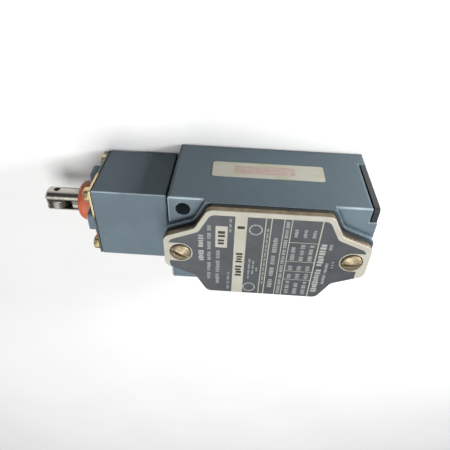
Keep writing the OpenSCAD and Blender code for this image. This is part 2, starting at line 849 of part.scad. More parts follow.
// Copper straps from the capsule's ends up to the two terminals
module contact_straps() color("#b87348") {
    for (i = [0, 1]) {
        riser_x = i == 0 ? capsule_x0 - strap_t - strap_c : capsule_x1 + strap_c;
        tab_x0 = i == 0 ? riser_x : riser_x + strap_t - strap_tab;
        difference() {
            union() {
                translate([riser_x, capsule_y - strap_w / 2, axis_z - strap_low])
                    cube([strap_t, strap_w, housing_z - axis_z + strap_low + strap_t]);
                translate([tab_x0, capsule_y - clamp_w / 2, housing_z])
                    cube([strap_tab, clamp_w, strap_t]);
            }
            translate([terminal_x[i], capsule_y, housing_z - 1])
                cylinder(h = strap_t + 2, d = terminal_d + 2 * pass_c);
        }
    }
}

module terminal_clamps() color("#b9b7ae") {
    for (x = terminal_x)
        difference() {
            translate([x - clamp_w / 2, capsule_y - clamp_w / 2, housing_z + strap_t])
                cube([clamp_w, clamp_w, clamp_t]);
            translate([x, capsule_y, housing_z])
                cylinder(h = strap_t + clamp_t + 1, d = terminal_d + 2 * pass_c);
        }
}

module terminal_screws() color("#c4bfae") {
    for (x = terminal_x)
        translate([x, capsule_y, housing_z + strap_t + clamp_t])
            slotted_screw(terminal_d, strap_t + clamp_t + terminal_grip, terminal_head[0],
                terminal_head[1]);
}

module ground_screw() color("#3d7a4d") {
    translate([ground_x, ground_y, floor_t + ground_boss[1]])
        slotted_screw(terminal_d, ground_boss[1] + ground_grip, ground_head[0], ground_head[1]);
}

body_casting();
end_plate();
cover_gasket();
cover_plate();
nameplate();
cover_screws();
side_label();
head_gasket();
head_casting();
retainer_plate();
end_cap();
head_screws();
wiper_boot();
plunger_bushing();
plunger_seal();
spring_plate();
return_spring();
rod_guide();
rod_seal();
contact_housing();
housing_screws();
sealed_contact();
contact_straps();
terminal_clamps();
terminal_screws();
ground_screw();
carrier_spring();
plunger();
roller_pin();
retaining_clip();
spring_washer();
roller();
drive_rod();
magnet_carrier();
magnet();
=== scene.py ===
"""Looks of an oil-tight limit switch with a top-push roller plunger.

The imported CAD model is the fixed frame. Each class below is one sub-assembly of the switch: it dresses
its CAD pieces in their finishes, and stands finer pieces in for the ones that the frame keeps plain.
"""

import json
import logging
import math
import random
from collections.abc import Callable, Sequence
from dataclasses import dataclass, field
from enum import Enum

import bmesh
import bpy
from mathutils import Matrix, Quaternion, Vector


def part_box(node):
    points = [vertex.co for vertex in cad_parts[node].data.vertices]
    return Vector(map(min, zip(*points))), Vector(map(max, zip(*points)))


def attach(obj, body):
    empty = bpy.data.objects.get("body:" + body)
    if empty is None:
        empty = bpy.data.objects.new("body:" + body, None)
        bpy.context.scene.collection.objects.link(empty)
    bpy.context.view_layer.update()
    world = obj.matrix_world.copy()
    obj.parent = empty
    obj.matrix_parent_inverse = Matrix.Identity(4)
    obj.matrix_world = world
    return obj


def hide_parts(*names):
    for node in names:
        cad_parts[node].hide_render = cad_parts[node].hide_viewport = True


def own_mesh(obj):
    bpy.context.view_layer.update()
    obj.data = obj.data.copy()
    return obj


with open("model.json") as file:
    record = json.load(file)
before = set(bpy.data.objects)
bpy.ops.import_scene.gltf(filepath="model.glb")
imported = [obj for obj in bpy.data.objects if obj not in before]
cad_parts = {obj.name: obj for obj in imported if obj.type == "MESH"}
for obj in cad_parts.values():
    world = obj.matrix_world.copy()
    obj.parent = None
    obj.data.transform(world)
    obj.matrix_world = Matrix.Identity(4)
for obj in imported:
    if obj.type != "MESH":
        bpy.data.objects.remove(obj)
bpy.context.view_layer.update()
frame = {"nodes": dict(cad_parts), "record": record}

LOG = logging.getLogger("limit_switch")
MM = 0.001
EDGE_ANGLE = math.radians(32)
SMOOTH_ANGLE = math.radians(35)
AO_SAMPLES = 6

Socket = bpy.types.NodeSocket
Point2 = tuple[float, float]


class Body(Enum):
    """The bodies of the frame that a piece can ride on."""

    HOUSING = "housing"
    PLUNGER = "plunger"
    ROLLER = "roller"
    CARRIER = "carrier"


class Facing(Enum):
    """The way that a turned piece or a screw faces: the direction of its head."""

    UP = "up"
    OUT = "out"

    def turn(self) -> Matrix:
        """Return the rotation that takes +Z to this direction."""
        return Matrix.Rotation(-math.pi / 2, 4, "Y") if self is Facing.OUT else Matrix.Identity(4)


# ---------- materials ----------


def linear(hex_colour: str) -> tuple[float, float, float, float]:
    """Turn an sRGB hex colour into the linear colour that a shader takes.

    Args:
        hex_colour: The colour as "#rrggbb".

    Returns:
        Red, green and blue in linear light, and an alpha of 1.
    """
    parts = [int(hex_colour[i : i + 2], 16) / 255 for i in (1, 3, 5)]
    red, green, blue = (p / 12.92 if p <= 0.04045 else ((p + 0.055) / 1.055) ** 2.4 for p in parts)
    return red, green, blue, 1.0


def add(
    tree: bpy.types.NodeTree, kind: str, inputs: dict | None = None, **settings: object,
) -> bpy.types.Node:
    """Add a node with its settings and links.

    Args:
        tree: The node tree of a material or of a modifier.
        kind: The node's type; a shader node's goes without its "ShaderNode" prefix.
        inputs: A value or an output socket for each input, by name or index.
        **settings: The node's own settings.

    Returns:
        The new node.
    """
    node = tree.nodes.new(kind if "Node" in kind else "ShaderNode" + kind)
    for name, value in settings.items():
        setattr(node, name, value)
    for key, value in (inputs or {}).items():
        if isinstance(value, Socket):
            tree.links.new(value, node.inputs[key])
        else:
            node.inputs[key].default_value = value
    return node


class Coat:
    """The node tree of one material, with the patterns that the finishes share."""

    def __init__(self, name: str) -> None:
        """Start an empty material.

        Args:
            name: The material's name.
        """
        self.material = bpy.data.materials.new(name)
        self.material.use_nodes = True
        self.tree = self.material.node_tree
        self.tree.nodes.clear()
        self.place = add(self.tree, "TexCoord").outputs["Object"]

    def grain(self, size_mm: Sequence[float], detail: float = 2.0, shift: float = 0.0) -> Socket:
        """Make a soft random pattern.

        Args:
            size_mm: The length of a typical blotch along X, Y and Z, in millimetres.
            detail: How many finer octaves it carries.
            shift: Where in the noise it starts, so that two patterns differ.

        Returns:
            The pattern, from 0 to 1.
        """
        per_metre = [1 / (size * MM) for size in size_mm]
        scaled = add(self.tree, "Mapping", {
            "Vector": self.place, "Location": (shift, shift, shift), "Scale": per_metre})
        return add(self.tree, "TexNoise", {
            "Vector": scaled.outputs[0], "Scale": 1.0, "Detail": detail, "Roughness": 0.55}).outputs["Fac"]

    def edges(self, reach_mm: float, patchy: Socket) -> Socket:
        """Find the outer edges, where hands rub the paint thin and where a painted highlight stands for the
        light that the rounded edge catches.

        Args:
            reach_mm: How far from the edge the wear and the painted highlight go.
            patchy: The pattern that breaks the pale edge up.

        Returns:
            1 on edges and 0 on faces, broken up by the pattern.
        """
        tree = self.tree
        soft = add(tree, "Bevel", {"Radius": reach_mm * MM}, samples=AO_SAMPLES)
        sharp = add(tree, "NewGeometry")
        normals = {0: soft.outputs[0], 1: sharp.outputs["Normal"]}
        match = add(tree, "VectorMath", normals, operation="DOT_PRODUCT")
        # The two normals part by 10 degrees where the pale edge of wear and painted highlight starts, and by
        # 30 where it is full
        bent = add(tree, "MapRange", {"Value": match.outputs["Value"], 1: 0.985, 2: 0.87, 3: 0.0, 4: 1.0})
        worn_and_highlit = add(tree, "MapRange", {"Value": patchy, 1: 0.38, 2: 0.62, 3: 0.25, 4: 1.0})
        return add(tree, "Math", {0: bent.outputs[0], 1: worn_and_highlit.outputs[0]}, operation="MULTIPLY").outputs[0]

    def hollow_shade(self, reach_mm: float) -> Socket:
        """Find the corners and holes, for painted shade where less light reaches.

        Args:
            reach_mm: How near another face has to be to count.

        Returns:
            1 on open faces, and less in corners and holes.
        """
        reach = {"Distance": reach_mm * MM}
        return add(self.tree, "AmbientOcclusion", reach, samples=AO_SAMPLES).outputs["AO"]

    def between(self, share: Socket, span: Point2, low: object, high: object) -> Socket:
        """Go from one colour to another as a pattern crosses a span.

        Args:
            share: The pattern.
            span: The pattern's values where the change starts and ends.
            low: The colour before the span, as linear numbers or a socket.
            high: The colour after the span.

        Returns:
            The mixed colour.
        """
        limits = {"Value": share, 1: span[0], 2: span[1]}
        step = add(self.tree, "MapRange", limits, interpolation_type="SMOOTHSTEP")
        return add(self.tree, "Mix", {0: step.outputs[0], 6: low, 7: high}, data_type="RGBA").outputs[2]

    def spread(self, share: Socket, low: float, high: float) -> Socket:
        """Stretch a pattern's middle range to run from one number to another.

        Args:
            share: The pattern.
            low: The number where the pattern is low.
            high: The number where the pattern is high.

        Returns:
            The stretched pattern.
        """
        return add(self.tree, "MapRange", {"Value": share, 1: 0.3, 2: 0.7, 3: low, 4: high}).outputs[0]

    def relief(self, layers: Sequence[tuple[Socket, float]]) -> Socket:
        """Stack bumps on the surface.

        Args:
            layers: Each pattern and its height in millimetres.

        Returns:
            The bumped normal.
        """
        normal: dict = {}
        for pattern, height_mm in layers:
            height = {"Height": pattern, "Distance": height_mm * MM, "Strength": 1.0}
            bump = add(self.tree, "Bump", {**height, **normal})
            normal = {"Normal": bump.outputs[0]}
        return normal["Normal"]

    def finish(self, **sockets: object) -> bpy.types.Material:
        """Close the tree with its shader.

        Args:
            **sockets: The shader's inputs, with underscores for spaces.

        Returns:
            The finished material.
        """
        inputs = {name.replace("_", " "): value for name, value in sockets.items()}
        shader = add(self.tree, "BsdfPrincipled", inputs)
        add(self.tree, "OutputMaterial", {"Surface": shader.outputs[0]})
        return self.material


@dataclass(frozen=True)
class Enamel:
    """Stoved enamel, sprayed on a die casting: satin, with a fine orange peel, pale edges that are wear and a
    painted highlight, and painted shade in corners and holes.
    """

    name: str
    colour: str
    shade: str
    rubbed: str
    roughness: float = 0.46
    # Painted shade: the dark colour that corners and holes go to
    grime_and_shade: str = "#15181a"
    # Real peel is nearer 0.4 mm; that is finer than a pixel here, so it is drawn coarser
    peel_mm: float = 0.7
    rub_and_highlight_mm: float = 0.35
    hollow_shade_mm: float = 4.0
    # An enamel film scatters more than it mirrors, so its gloss is under a bare plastic's
    gloss: float = 0.22

    def material(self) -> bpy.types.Material:
        """Build the material."""
        coat = Coat(self.name)
        cloud = coat.grain((14, 14, 14), 3.0)
        peel = coat.grain((self.peel_mm,) * 3, 1.0)
        speck = coat.grain((0.9, 0.9, 0.9), 4.0, shift=7.0)
        scratch = coat.grain((5.0, 0.16, 5.0), 1.0, shift=3.0)
        paint = coat.between(cloud, (0.3, 0.7), linear(self.shade), linear(self.colour))
        dusty = coat.between(speck, (0.68, 0.76), paint, linear(self.rubbed))
        scratched = coat.between(scratch, (0.80, 0.84), dusty, linear(self.rubbed))
        # The pale edge is partly wear and partly a painted highlight, standing for the light that the rounded
        # edge catches
        worn_and_highlit = coat.between(coat.edges(self.rub_and_highlight_mm, speck), (0.3, 0.8), scratched, linear(self.rubbed))
        # Painted shade: the enamel goes dark in corners and holes, where less light reaches
        hollow_shaded = coat.between(coat.hollow_shade(self.hollow_shade_mm), (0.25, 0.85), linear(self.grime_and_shade), worn_and_highlit)
        return coat.finish(
            Base_Color=hollow_shaded,
            Roughness=coat.spread(cloud, self.roughness - 0.05, self.roughness + 0.07),
            Normal=coat.relief([(peel, 0.012), (speck, 0.006)]),
            Specular_IOR_Level=self.gloss,
        )


@dataclass(frozen=True)
class Metal:
    """Bare or plated metal, with the grain that its last machining left.

    Real grinding and turning marks are 0.01 to 0.05 mm apart. They are drawn about ten times coarser,
    at 0.1 mm and more, because finer ones would only blur into the roughness.
    """

    name: str
    colour: str
    tint: str
    roughness: float
    grain_mm: tuple[float, float, float]
    grain_height_mm: float = 0.004
    grime_and_shade: str = "#3a342c"
    grime_from: float = 0.66
    patch_mm: float = 3.0
    pale_patch: str | None = None
    pale_patch_at_mm: tuple[float, float, float] = (0.0, 0.0, 0.0)
    pale_patch_reach_mm: float = 10.0

    def material(self) -> bpy.types.Material:
        """Build the material."""
        coat = Coat(self.name)
        patch = coat.grain((self.patch_mm,) * 3, 3.0, shift=2.0)
        cut = coat.grain(self.grain_mm, 2.0)
        dirt = coat.grain((1.4, 1.4, 1.4), 4.0, shift=11.0)
        plated = coat.between(patch, (0.35, 0.65), linear(self.colour), linear(self.tint))
        if self.pale_patch:
            middle = [c * MM for c in self.pale_patch_at_mm]
            ends = {0: coat.place, 1: middle}
            away = add(coat.tree, "VectorMath", ends, operation="DISTANCE").outputs["Value"]
            near = (self.pale_patch_reach_mm * 0.75 * MM, self.pale_patch_reach_mm * MM)
            plated = coat.between(away, near, linear(self.pale_patch), plated)
        soiled = coat.between(dirt, (self.grime_from, self.grime_from + 0.14), plated, linear(self.grime_and_shade))
        return coat.finish(
            Base_Color=soiled,
            Metallic=1.0,
            Roughness=coat.spread(patch, self.roughness * 0.8, self.roughness * 1.25),
            Normal=coat.relief([(cut, self.grain_height_mm)]),
        )


@dataclass(frozen=True)
class Moulded:
    """Moulded plastic or rubber, with the texture that its mould or its age left."""

    name: str
    colour: str
    shade: str
    roughness: float
    texture_mm: float = 0.5
    texture_height_mm: float = 0.01
    glow: float = 0.0
    dust: str | None = None

    def material(self) -> bpy.types.Material:
        """Build the material."""
        coat = Coat(self.name)
        cloud = coat.grain((6, 6, 6), 3.0)
        pores = coat.grain((self.texture_mm,) * 3, 2.0)
        skin = coat.between(cloud, (0.35, 0.65), linear(self.colour), linear(self.shade))
        if self.dust:
            fleck = coat.grain((0.8, 0.8, 0.8), 5.0, shift=5.0)
            skin = coat.between(fleck, (0.6, 0.78), skin, linear(self.dust))
        return coat.finish(
            Base_Color=skin,
            Roughness=coat.spread(pores, self.roughness - 0.06, self.roughness + 0.06),
            Normal=coat.relief([(pores, self.texture_height_mm)]),
            Subsurface_Weight=self.glow,
            Subsurface_Radius=(0.0020, 0.0008, 0.0004),
        )


@dataclass(frozen=True)
class LabelStock:
    """A paper label, varnished and aged, whose print has worn to a blush."""

    name: str
    colour: str
    blush: str
    stain: str
    span_mm: Point2
    row_mm: Point2
    fade_mm: Point2 = (4.0, 2.0)

    def material(self) -> bpy.types.Material:
        """Build the material."""
        coat = Coat(self.name)
        tree = coat.tree
        axes = add(tree, "SeparateXYZ", {0: coat.place})
        smear = coat.grain((2.6, 2.0, 0.55), 4.0)
        age = coat.grain((9, 9, 5), 3.0, shift=4.0)
        left, right = (edge * MM for edge in self.span_mm)
        low, high = (edge * MM for edge in self.row_mm)
        fade_x, fade_z = self.fade_mm[0] * MM, self.fade_mm[1] * MM
        print_share = smear
        for axis, start, end in (
                (0, left, left + fade_x), (0, right, right - fade_x),
                (2, low, low + fade_z), (2, high, high - fade_z)):
            limits = {"Value": axes.outputs[axis], 1: start, 2: end}
            fade = add(tree, "MapRange", limits, interpolation_type="SMOOTHSTEP")
            both = {0: print_share, 1: fade.outputs[0]}
            print_share = add(tree, "Math", both, operation="MULTIPLY").outputs[0]
        aged = coat.between(age, (0.42, 0.72), linear(self.colour), linear(self.stain))
        return coat.finish(
            Base_Color=coat.between(print_share, (0.36, 0.62), aged, linear(self.blush)),
            Roughness=0.5,
            Normal=coat.relief([(smear, 0.01), (age, 0.03)]),
        )


@dataclass(frozen=True)
class Glass:
    """Drawn glass tube, faintly green."""

    name: str
    colour: str

    def material(self) -> bpy.types.Material:
        """Build the material."""
        coat = Coat(self.name)
        drawn = coat.grain((8, 0.8, 0.8), 1.0)
        return coat.finish(
            Base_Color=coat.between(drawn, (0.3, 0.7), linear(self.colour), linear("#ffffff")),
            Roughness=0.04,
            Transmission_Weight=0.9,
            IOR=1.5,
            Normal=coat.relief([(drawn, 0.004)]),
        )


class Stock(Enum):
    """Every finish on the switch, by what it is made of."""

    # Stoved enamel on zinc castings: an even satin blue-grey, paler on the edges where hands and spanners rub
    # them and where a painted highlight stands for the light off the rounded edge, and darker in corners and
    # holes with painted shade
    ENAMEL = Enamel("blue-grey stoved enamel", "#6a7a83", "#63737c", "#adbcc2")
    # The same enamel, much paler, on the broken edges: paint thinned by wear, and a painted highlight that
    # stands for the light caught as a pale blue line
    RUB_AND_HIGHLIGHT_EDGE = Enamel("enamel rubbed thin on the edges", "#b9c8cf", "#93a3ab", "#d3dde0", 0.3)
    # Phenolic moulding: near black and matt, with the faint mottle of its wood-flour filler
    PHENOLIC = Moulded("black moulded phenolic", "#24292c", "#1c2022", 0.5, 0.6, 0.012)
    # Nitrile gasket: black, matt, a little dusty
    NITRILE = Moulded("black nitrile rubber", "#1a1b1a", "#262622", 0.75, 0.4, 0.01, dust="#3b382f")
    # Pressed steel cover with a yellow passivation: dull brown along its sheared edge, darker in patches
    PASSIVATED = Metal(
        "yellow-passivated steel sheet", "#7d705c", "#6f6150", 0.45, (1.5, 1.5, 0.2), 0.004, "#4a3f32", 0.6)
    # Etched aluminium nameplate: its clear lacquer has gone cream, and spreads the light evenly
    LACQUERED = Moulded("lacquered etched aluminium", "#b5b2a4", "#bebbaf", 0.38, 0.5, 0.003)
    # Screen ink on the nameplate: dark grey and satin, a hair above the metal
    INK = Moulded("dark grey screen ink", "#505457", "#494d51", 0.4, 0.4, 0.003)
    # The print's large rows, here plain bars: bare metal showing through the ink, a dull silver
    PALE_PRINT = Moulded("pale print", "#a2a4a1", "#acada8", 0.45, 0.3, 0.002)
    # The print's small rows: thinner strokes, filled in by ink, so they read as a greyer silver
    FAINT_PRINT = Moulded("faint print", "#8e918f", "#989a96", 0.45, 0.3, 0.002)
    # Black stamped over the bare bands: flat, with a soft edge
    DARK_PRINT = Moulded("black print", "#2a2926", "#22211f", 0.5, 0.3, 0.002)
    # Zinc plate with a yellow chromate: brassy, drifting to pink where the film is thin
    CHROMATE = Metal("yellow-chromated zinc plate", "#d2c190", "#c4ab82", 0.3, (0.3, 0.3, 0.3), 0.004)
    # The head's retainer: rolled steel sheet, grey with overspray, turning pale tan within 13 mm of one
    # corner
    SHEARED_CHROMATE = Metal(
        "oversprayed chromated steel plate", "#68747a", "#5c5f58", 0.5, (1.2, 0.3, 0.3), 0.01,
        pale_patch="#d9c6a0", pale_patch_at_mm=(-65.0, 15.4, 29.7), pale_patch_reach_mm=13.0)
    # The cover screws: drivers have worn their chromate, which leaves a dull brown sheen with dirt in it
    WORN_CHROMATE = Metal(
        "worn chromated screw", "#b0a58b", "#9c8b74", 0.56, (0.4, 0.4, 0.4), 0.012, "#5e5040", 0.6, 1.6)
    # Silicone wiper boot: salmon red, soft, light glows a little way into it
    SILICONE = Moulded(
        "red silicone rubber", "#c95f3a", "#cf6f50", 0.42, 0.5, 0.006, glow=0.2, dust="#c97a58")
    # Centreless-ground and hardened plunger: bright, with fine rings round it
    GROUND_STEEL = Metal(
        "ground tool steel", "#b9b5ac", "#a8a49a", 0.2, (0.12, 3.0, 3.0), 0.002, "#57524a", 0.7)
    # Turned steel of the roller, pin and washers: greyer, with lathe rings that spread the highlight
    TURNED_STEEL = Metal("turned steel", "#9c9a95", "#8b8983", 0.32, (0.15, 2.0, 2.0), 0.003)
    # Drawn spring wire: smooth from the die, with a sharp thin highlight along it
    SPRING_STEEL = Metal("drawn spring steel", "#a7a59f", "#97958f", 0.25, (0.5, 0.5, 0.5), 0.001)
    # Oil-filled sintered bronze: brown gold and matt from its pores
    BRONZE = Metal("sintered bronze", "#a77f48", "#94703f", 0.45, (0.25, 0.25, 0.25), 0.006)
    # Rolled copper strip: dulled orange, with a sheen drawn out along the strip
    COPPER = Metal("rolled copper strip", "#c08058", "#a86c49", 0.33, (1.5, 0.2, 0.2), 0.002)
    # Nickel plate on the terminal clamps and screws: a warm, even silver
    NICKEL = Metal("nickel-plated brass", "#c4c0b4", "#b5b1a5", 0.25, (0.4, 0.4, 0.4), 0.002)
    # Bare die-cast zinc in the conduit entry: cool grey where the thread was cut through the paint
    BARE_ZINC = Metal("bare die-cast zinc", "#9ea1a1", "#8d9192", 0.4, (0.4, 0.2, 0.2), 0.004)
    # Green-dyed steel ground screw: the metal's shine shows through the dye
    GREEN_DYE = Metal("green-dyed steel screw", "#3f8a57", "#2f7446", 0.35, (0.3, 0.3, 0.3), 0.003)
    # Natural nylon: warm white and waxy, light goes a little way in
    NYLON = Moulded("natural nylon", "#ddd6c4", "#d3ccb8", 0.42, 0.7, 0.004, glow=0.2)
    # Sintered ferrite magnet: charcoal, dry
    FERRITE = Moulded("sintered ferrite", "#3a3d40", "#313437", 0.6, 0.3, 0.008)
    # Drawn glass of the sealed contact: clear, faintly green, with long soft ripples
    GLASS = Glass("drawn soda glass", "#b9d6c6")
    # Varnished paper label: yellowed at the corners, its red print worn to a pink blush
    LABEL = LabelStock(
        "varnished paper label", "#d9d6c8", "#d3aaa3", "#c9caa9", (-16.0, 12.5), (12.8, 21.3))

    def material(self) -> bpy.types.Material:
        """Return this finish's material, built on its first use."""
        found = bpy.data.materials.get(self.value.name)
        return found or self.value.material()


# ---------- shapes ----------


def move_edges(points: Sequence[Point2], steps: Sequence[float]) -> list[Point2]:
    """Move each edge of a closed outline outwards by its own step.

    Args:
        points: The corners, anticlockwise.
        steps: The step of the edge that starts at each corner; a minus moves it inwards.

    Returns:
        The new corners.
    """
    count = len(points)
    lines = []
    for i, step in enumerate(steps):
        start, end = Vector(points[i]), Vector(points[(i + 1) % count])
        along = (end - start).normalized()
        lines.append((start + Vector((along.y, -along.x)) * step, along))
    corners = []
    for i in range(count):
        (p, u), (q, v) = lines[i - 1], lines[i]
        reach = (q - p).cross(v) / u.cross(v)
        corners.append(tuple(p + u * reach))
    return corners


def round_corners(points: Sequence[Point2], radius: float, steps: int = 8) -> list[Point2]:
    """Round each corner of a closed outline.

    Args:
        points: The corners.
        radius: The radius of the arcs.
        steps: How many lengths each arc has.

    Returns:
        The rounded outline.
    """
    count = len(points)
    outline = []
    for i, corner in enumerate(points):
        here = Vector(corner)
        back = (Vector(points[i - 1]) - here).normalized()
        ahead = (Vector(points[(i + 1) % count]) - here).normalized()
        half = back.angle(ahead) / 2
        start = here + back * (radius / math.tan(half))
        centre = here + (back + ahead).normalized() * (radius / math.sin(half))
        side = 1 if back.cross(ahead) < 0 else -1
        bend = side * (math.pi - 2 * half)
        for k in range(steps + 1):
            spoke = start - centre
            spoke.rotate(Matrix.Rotation(bend * k / steps, 2))
            outline.append(tuple(centre + spoke))
    return outline


def box_points(x0: float, x1: float, y0: float, y1: float) -> list[Point2]:
    """Return the corners of a rectangle, anticlockwise."""
    return [(x0, y0), (x1, y0), (x1, y1), (x0, y1)]


def bridge(mesh: bmesh.types.BMesh, ring: Sequence[bmesh.types.BMVert],
           other: Sequence[bmesh.types.BMVert]) -> None:
    """Join two rings of points with a band of faces.

    Args:
        mesh: The mesh that holds them.
        ring: The first ring; a point may be named more than once where the ring shrinks to it.
        other: The second ring, with the same number of points.
    """
    for k in range(len(ring)):
        n = (k + 1) % len(ring)
        mesh.faces.new(list(dict.fromkeys((ring[k], ring[n], other[n], other[k]))))


def add_prism(mesh: bmesh.types.BMesh, outline: Sequence[Point2], z0: float, z1: float) -> None:
    """Add an upright prism to a mesh.

    Args:
        mesh: The mesh that takes it.
        outline: Its plan, anticlockwise.
        z0: The height of its underside.
        z1: The height of its top.
    """
    low = [mesh.verts.new((x, y, z0)) for x, y in outline]
    high = [mesh.verts.new((x, y, z1)) for x, y in outline]
    mesh.faces.new(reversed(low))
    mesh.faces.new(high)
    bridge(mesh, low, high)


def add_turned(mesh: bmesh.types.BMesh, profile: Sequence[Point2], steps: int = 64) -> None:
    """Add a solid of revolution about Z.

    Args:
        mesh: The mesh that takes it.
        profile: Radius and height of each point, closed; a radius of 0 lies on the axis.
        steps: How many flats a turn has.
    """
    rings = []
    for radius, height in profile:
        if radius <= 0:
            rings.append([mesh.verts.new((0, 0, height))] * steps)
            continue
        turns = [2 * math.pi * k / steps for k in range(steps)]
        rings.append([mesh.verts.new((radius * math.cos(t), radius * math.sin(t), height)) for t in turns])
    for i, ring in enumerate(rings):
        other = rings[(i + 1) % len(rings)]
        on_axis = ring[0] is ring[1] and other[0] is other[1]
        if not on_axis:
            bridge(mesh, ring, other)


def add_rings(mesh: bmesh.types.BMesh, rings: Sequence[Sequence[Vector]]) -> None:
    """Add a closed tube through rings of points, with flat ends.

    Args:
        mesh: The mesh that takes it.
        rings: The rings, each with the same number of points.
    """
    made = [[mesh.verts.new(point) for point in ring] for ring in rings]
    for low, high in zip(made, made[1:]):
        bridge(mesh, low, high)
    mesh.faces.new(reversed(made[0]))
    mesh.faces.new(made[-1])


def cut(piece: bpy.types.Object, tool: bpy.types.Object) -> None:
    """Cut one mesh object with another, and remove the tool.

    Args:
        piece: The object that is cut.
        tool: The object that cuts it.
    """
    boolean = piece.modifiers.new("cut", "BOOLEAN")
    boolean.operation = "DIFFERENCE"
    boolean.solver = "EXACT"
    boolean.object = tool
    boolean.use_self = True
    graph = bpy.context.evaluated_depsgraph_get()
    result = bpy.data.meshes.new_from_object(piece.evaluated_get(graph))
    piece.modifiers.clear()
    piece.data = result
    bpy.data.objects.remove(tool)


def scratch_object(name: str, build: Callable[[bmesh.types.BMesh], None]) -> bpy.types.Object:
    """Make a linked mesh object from a function that fills its mesh.

    Args:
        name: The object's name.
        build: The function that adds the geometry.

    Returns:
        The new object.
    """
    mesh = bmesh.new()
    build(mesh)
    bmesh.ops.recalc_face_normals(mesh, faces=mesh.faces)
    data = bpy.data.meshes.new(name)
    mesh.to_mesh(data)
    mesh.free()
    piece = bpy.data.objects.new(name, data)
    bpy.context.scene.collection.objects.link(piece)
    return piece


def node_modifier(
    piece: bpy.types.Object, name: str, build: Callable[[bpy.types.NodeTree, Socket], Socket],
) -> None:
    """Change what a piece shows by a modifier of nodes, which leaves its own mesh as it is.

    Args:
        piece: The object.
        name: The modifier's name.
        build: The function that adds the nodes; it takes the tree and the geometry, and gives the result.
    """
    tree = bpy.data.node_groups.new(f"{piece.name} {name}", "GeometryNodeTree")
    for side in ("INPUT", "OUTPUT"):
        tree.interface.new_socket("Geometry", in_out=side, socket_type="NodeSocketGeometry")
    start = add(tree, "NodeGroupInput")
    add(tree, "NodeGroupOutput", {0: build(tree, start.outputs[0])})
    piece.modifiers.new(name, "NODES").node_group = tree


def forget_normals(tree: bpy.types.NodeTree, geometry: Socket) -> Socket:
    """Drop the stored normals, so that the broken edges shade by their own shape.

    Args:
        tree: The modifier's tree.
        geometry: The geometry that comes in.

    Returns:
        The geometry without them.
    """
    inputs = {"Geometry": geometry, "Name": "custom_normal"}
    return add(tree, "GeometryNodeRemoveAttribute", inputs).outputs[0]


def rub_and_highlight_round_edges(tree: bpy.types.NodeTree, geometry: Socket, top: float) -> Socket:
    """Give the rounded edges round a top face the piece's second material, the pale enamel of wear and a
    painted highlight.

    Args:
        tree: The modifier's tree.
        geometry: The geometry that comes in.
        top: The height of the top face in metres.

    Returns:
        The geometry with its edges given the pale enamel.
    """
    deepest = 1.5 * MM
    slope = add(tree, "SeparateXYZ", {0: add(tree, "GeometryNodeInputNormal").outputs[0]}).outputs["Z"]
    height = add(tree, "SeparateXYZ", {0: add(tree, "GeometryNodeInputPosition").outputs[0]}).outputs["Z"]
    chosen = None
    for value, low, high in ((slope, 0.45, 0.9), (height, top - deepest, top)):
        for limit, way in ((low, "GREATER_THAN"), (high, "LESS_THAN")):
            test = add(tree, "FunctionNodeCompare", {0: value, 1: limit}, data_type="FLOAT", operation=way)
            both = {0: chosen, 1: test.outputs[0]}
            chosen = add(tree, "FunctionNodeBooleanMath", both).outputs[0] if chosen else test.outputs[0]
    inputs = {"Geometry": geometry, "Selection": chosen, "Material Index": 1}
    return add(tree, "GeometryNodeSetMaterialIndex", inputs).outputs[0]


def soften(piece: bpy.types.Object, width_mm: float, worn_and_highlit: bool) -> None:
    """Break the sharp edges of a piece with modifiers.

    Args:
        piece: The object.
        width_mm: The width of the broken edge.
        worn_and_highlit: True to give the broken edges the piece's second material.
    """
    weld = piece.modifiers.new("weld", "WELD")
    weld.merge_threshold = 1e-6
    flat = piece.modifiers.new("flat", "DECIMATE")
    flat.decimate_type = "DISSOLVE"
    flat.angle_limit = math.radians(0.4)
    bevel = piece.modifiers.new("edges", "BEVEL")
    bevel.width = width_mm * MM
    bevel.segments = 2
    # The second material is the pale enamel: wear, and a painted highlight on the edges
    bevel.material = 1 if worn_and_highlit else -1
    bevel.limit_method = "ANGLE"
    bevel.angle_limit = EDGE_ANGLE
    weighted = piece.modifiers.new("shading", "WEIGHTED_NORMAL")
    weighted.keep_sharp = True


def settle(
    piece: bpy.types.Object, stock: Stock, body: Body, replaces: Sequence[str] = (),
) -> None:
    """Give a new piece its finish and its body, and report it.

    Args:
        piece: The object.
        stock: Its finish.
        body: The body that it rides on.
        replaces: The CAD nodes that it stands for.
    """
    piece.data.materials.clear()
    piece.data.materials.append(stock.material())
    piece.data.polygons.foreach_set("use_smooth", [True] * len(piece.data.polygons))
    piece.data.set_sharp_from_angle(angle=SMOOTH_ANGLE)
    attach(piece, body.value)
    if replaces:
        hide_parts(*replaces)
    LOG.info("piece %s rides on %s, %d faces", piece.name, body.value, len(piece.data.polygons))


def dress(
    node: str, stock: Stock, soft_mm: float = 0.0, rim: Stock | None = None, rub_and_highlight_top: float | None = None,
) -> None:
    """Give a CAD node its finish, and break its edges. Its own mesh stays as the frame has it.

    Args:
        node: The node's name.
        stock: Its finish.
        soft_mm: The width of its broken edges; 0 leaves them as they are.
        rim: The finish of the broken edges, where it differs.
        rub_and_highlight_top: The height of a top face whose rounded edges get the rim's finish too, in metres.
    """
    piece = frame["nodes"][node]
    piece.material_slots[0].material = stock.material()
    if rim:
        piece.data.materials.append(rim.material())
    if soft_mm > 0:
        if "custom_normal" in piece.data.attributes:
            node_modifier(piece, "forget normals", forget_normals)
        if rub_and_highlight_top is not None:
            node_modifier(piece, "rub and highlight edges", lambda tree, geometry: rub_and_highlight_round_edges(tree, geometry, rub_and_highlight_top))
        soften(piece, soft_mm, rim is not None)
    LOG.info("node %s dressed in %s", node, stock.value.name)


